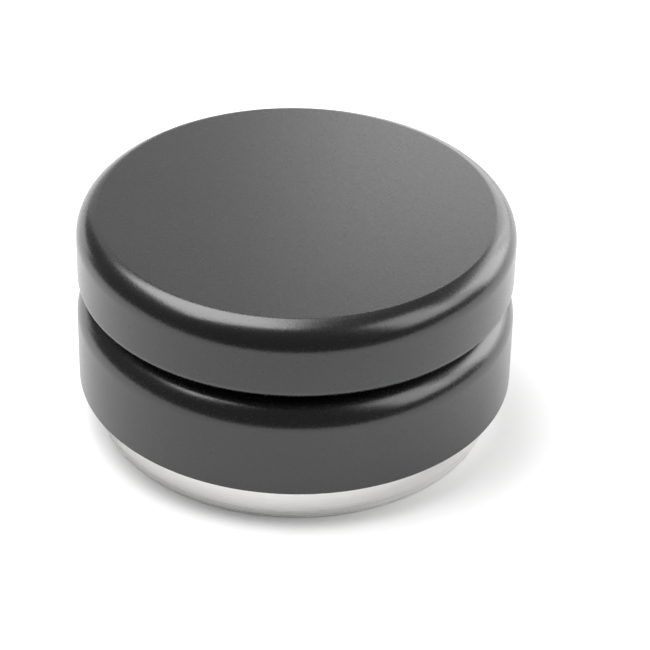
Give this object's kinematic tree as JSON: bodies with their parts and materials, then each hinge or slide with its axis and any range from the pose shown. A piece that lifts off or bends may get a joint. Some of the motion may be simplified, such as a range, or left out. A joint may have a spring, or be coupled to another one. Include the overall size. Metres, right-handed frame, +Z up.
{
  "type": "palm tamper",
  "caption": "Flat palm tamper for ground coffee: a round steel base under a black cap, with a threaded collar that sets the tamping depth.",
  "frame": {"origin": "centre of the base's flat underside, on the surface that the tamper stands on", "axes": "+Z up along the tamper's axis, from the base towards the cap; +X and +Y are any two directions square to it, with the base screws at 45 degrees to them"},
  "size_m": [0.0642, 0.0642, 0.034],
  "materials": {
    "black_anodised_aluminium": "bead-blasted and black anodised, satin",
    "stainless_steel": "fine turned stainless steel, satin",
    "dark_anodised_hub": "machined thread, dark hard anodised",
    "bronze": "machined bearing bronze",
    "screw_steel": "plain stainless screws",
    "spring_steel": "oiled spring steel",
    "black_rubber": "moulded nitrile rubber, matt",
    "black_acetal": "machined acetal, satin"
  },
  "bodies": {
    "tamper": {"tamping_base": "stainless_steel", "threaded_hub": "dark_anodised_hub", "base_seal_ring": "black_rubber", "base_screws": "screw_steel", "screw_lock_washers": "spring_steel", "lower_stop_ring": "black_acetal", "upper_stop_ring": "black_acetal", "cap": "black_anodised_aluminium", "cap_seal_ring": "black_rubber", "cap_lock_screws": "screw_steel"},
    "drag_ring": {"drag_ring": "black_rubber"},
    "collar": {"depth_collar": "black_anodised_aluminium", "collar_nut": "bronze", "nut_screws": "screw_steel"}
  },
  "joints": [
    {"name": "collar_lift", "type": "slide", "parent": "tamper", "child": "drag_ring", "axis": [0, 0, 1], "range_m": [-0.0065, 0.0012]},
    {"name": "collar_turn", "type": "hinge", "parent": "drag_ring", "child": "collar", "pos_m": [0, 0, 0.01375], "axis": [0, 0, 1], "range_deg": [-1560, 280]}
  ],
  "couplings": [
    {"joint": "collar_lift", "follows": "collar_turn", "m_per_rad": 0.00023873}
  ]
}
